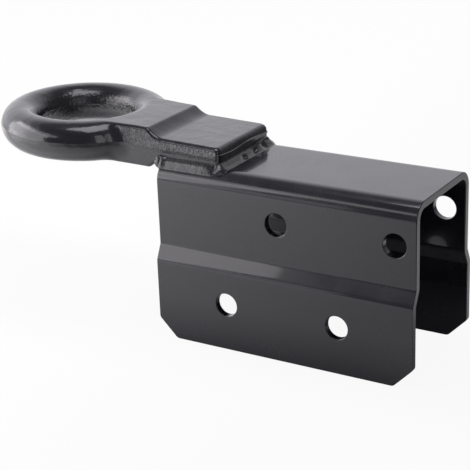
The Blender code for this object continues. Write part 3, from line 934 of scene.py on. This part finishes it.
# Painted glow: the floor gives off light, though it is no lamp.
floor_links.new(glow, floor_shader.inputs["Emission Color"])
floor_shader.inputs["Emission Strength"].default_value = PAINTED_GLOW_LEVEL
floor_shader.inputs["Roughness"].default_value = 0.9
floor_shader.inputs["Specular IOR Level"].default_value = 0.0
white = floor_nodes.new("ShaderNodeEmission")
white.inputs["Strength"].default_value = 1.0
seen_floor = floor_nodes.new("ShaderNodeMixShader")
light_path = floor_nodes.new("ShaderNodeLightPath")
camera_share = floor_nodes.new("ShaderNodeMath")
camera_share.operation = "MULTIPLY"
camera_share.inputs[1].default_value = CAMERA_SHARE
floor_links.new(light_path.outputs["Is Camera Ray"], camera_share.inputs[0])
floor_links.new(camera_share.outputs[0], seen_floor.inputs["Fac"])
floor_links.new(floor_shader.outputs[0], seen_floor.inputs[1])
floor_links.new(white.outputs[0], seen_floor.inputs[2])
floor_links.new(seen_floor.outputs[0], floor_nodes["Material Output"].inputs["Surface"])
floor.data.materials.append(floor_material)

# Studio: white to the camera all round. The paint sees a pale backdrop behind the bracket and a dim
# room towards the camera. A large soft box, two strips and a low fill stand at the left front, and
# there is a soft box overhead and one at the right front.
ROOM_LEVEL = 0.14
BACKDROP_AZIMUTH = math.radians(130)
BACKDROP_TINT = (1.0, 0.985, 1.045)
BOX_TINT = (1.0, 0.97, 1.0)
STUDIO_MIDDLE = Vector((-0.10, 0, 0.12))

world = bpy.data.worlds.new("white_studio")
bpy.context.scene.world = world
world.use_nodes = True
sky = world.node_tree.nodes
sky_links = world.node_tree.links
sky_axes = sky.new("ShaderNodeTexCoord").outputs["Generated"]


def towards(azimuth):
    """How far the view direction leans to an azimuth."""
    lean = sky.new("ShaderNodeVectorMath")
    lean.operation = "DOT_PRODUCT"
    lean.inputs[1].default_value = (math.cos(azimuth), math.sin(azimuth), 0)
    sky_links.new(sky_axes, lean.inputs[0])
    return lean.outputs["Value"]


turned = sky.new("ShaderNodeMath")
turned.operation = "ARCTAN2"
sky_links.new(towards(BACKDROP_AZIMUTH + math.pi / 2), turned.inputs[0])
sky_links.new(towards(BACKDROP_AZIMUTH), turned.inputs[1])
sky_height = sky.new("ShaderNodeSeparateXYZ")
sky_links.new(sky_axes, sky_height.inputs[0])
backdrop_edge = spread(sky, sky_links, turned.outputs[0], math.radians(-75), math.radians(-56), 0, 0.42)
backdrop_rise = spread(sky, sky_links, turned.outputs[0], math.radians(-56), math.radians(45), 0, 0.48)
backdrop_end = spread(sky, sky_links, turned.outputs[0], math.radians(70), math.radians(95), 1, 0)
backdrop_top = spread(sky, sky_links, sky_height.outputs["Z"], 0.62, 0.84, 1, 0.06)
backdrop = sky.new("ShaderNodeMath")
sky_links.new(backdrop_edge, backdrop.inputs[0])
sky_links.new(backdrop_rise, backdrop.inputs[1])
backdrop = product(sky, sky_links, product(sky, sky_links, backdrop.outputs[0], backdrop_end), backdrop_top)
surround_level = sky.new("ShaderNodeMath")
surround_level.inputs[0].default_value = ROOM_LEVEL
sky_links.new(backdrop, surround_level.inputs[1])
surround = sky["Background"]
surround.inputs["Color"].default_value = (*BACKDROP_TINT, 1)
sky_links.new(surround_level.outputs[0], surround.inputs["Strength"])
seen = sky.new("ShaderNodeBackground")
seen.inputs["Color"].default_value = (1, 1, 1, 1)
seen.inputs["Strength"].default_value = 1.0
sky_mix = sky.new("ShaderNodeMixShader")
sky_links.new(sky.new("ShaderNodeLightPath").outputs["Is Camera Ray"], sky_mix.inputs["Fac"])
sky_links.new(surround.outputs[0], sky_mix.inputs[1])
sky_links.new(seen.outputs[0], sky_mix.inputs[2])
sky_links.new(sky_mix.outputs[0], sky["World Output"].inputs["Surface"])


def soft_box(name, azimuth, elevation, distance, width, height, level, colour, roll=0.0):
    """A rectangular soft box facing the middle of the bracket; level 1 is white."""
    lamp = bpy.data.lights.new(name, "AREA")
    lamp.shape = "RECTANGLE"
    lamp.size = width
    lamp.size_y = height
    lamp.energy = level * math.pi * width * height
    lamp.color = colour
    box = bpy.data.objects.new(name, lamp)
    bpy.context.scene.collection.objects.link(box)
    azimuth, elevation = math.radians(azimuth), math.radians(elevation)
    aim = Vector((math.cos(elevation) * math.cos(azimuth), math.cos(elevation) * math.sin(azimuth),
                  math.sin(elevation)))
    box.location = STUDIO_MIDDLE + aim * distance
    roll_back = Matrix.Rotation(-math.radians(roll), 3, "Z")
    box.rotation_euler = (aim.to_track_quat("Z", "Y").to_matrix() @ roll_back).to_euler()
    box.visible_camera = False


soft_box("left_front_soft_box", -146, 20.5, 0.86, 1.06, 0.56, 1.85, BOX_TINT, 8)
soft_box("left_front_hot_strip", -139, 38.5, 0.87, 1.26, 0.18, 1.2, BOX_TINT, 3)
soft_box("left_near_strip", -147, -2, 0.56, 0.54, 0.16, 1.9, BOX_TINT)
soft_box("left_low_fill", -119, 1.5, 1.0, 0.54, 0.30, 0.62, BACKDROP_TINT)
soft_box("overhead_soft_box", -19.5, 80.5, 0.88, 0.48, 0.50, 2.5, BACKDROP_TINT)
soft_box("right_front_soft_box", -36, 20, 1.35, 0.24, 1.1, 1.0, BACKDROP_TINT)

# Camera: a long lens that looks from the front right and above, where the photograph was taken. Its
# place and turn follow from the bracket's edges and holes.
CAMERA_PLACE = Vector((FRONT_X + 510.35 * MM, -772.53 * MM, 406.30 * MM))
CAMERA_AZIMUTH = math.radians(31.733)
CAMERA_ELEVATION = math.radians(20.893)
CAMERA_ROLL = math.radians(-2.176)
LENS = 115.298
SENSOR = 36.0

back = Vector((math.sin(CAMERA_AZIMUTH) * math.cos(CAMERA_ELEVATION),
               -math.cos(CAMERA_AZIMUTH) * math.cos(CAMERA_ELEVATION), math.sin(CAMERA_ELEVATION)))
level_right = Vector((math.cos(CAMERA_AZIMUTH), math.sin(CAMERA_AZIMUTH), 0))
level_up = back.cross(level_right)
right = level_right * math.cos(CAMERA_ROLL) + level_up * math.sin(CAMERA_ROLL)
up = level_up * math.cos(CAMERA_ROLL) - level_right * math.sin(CAMERA_ROLL)
camera_data = bpy.data.cameras.new("photo_camera")
camera_data.lens = LENS
camera_data.sensor_width = SENSOR
camera_data.sensor_fit = "HORIZONTAL"
camera = bpy.data.objects.new("photo_camera", camera_data)
bpy.context.scene.collection.objects.link(camera)
camera.matrix_world = Matrix.Translation(CAMERA_PLACE) @ Matrix((right, up, back)).transposed().to_4x4()
bpy.context.scene.camera = camera
bpy.context.scene.view_settings.view_transform = "Standard"
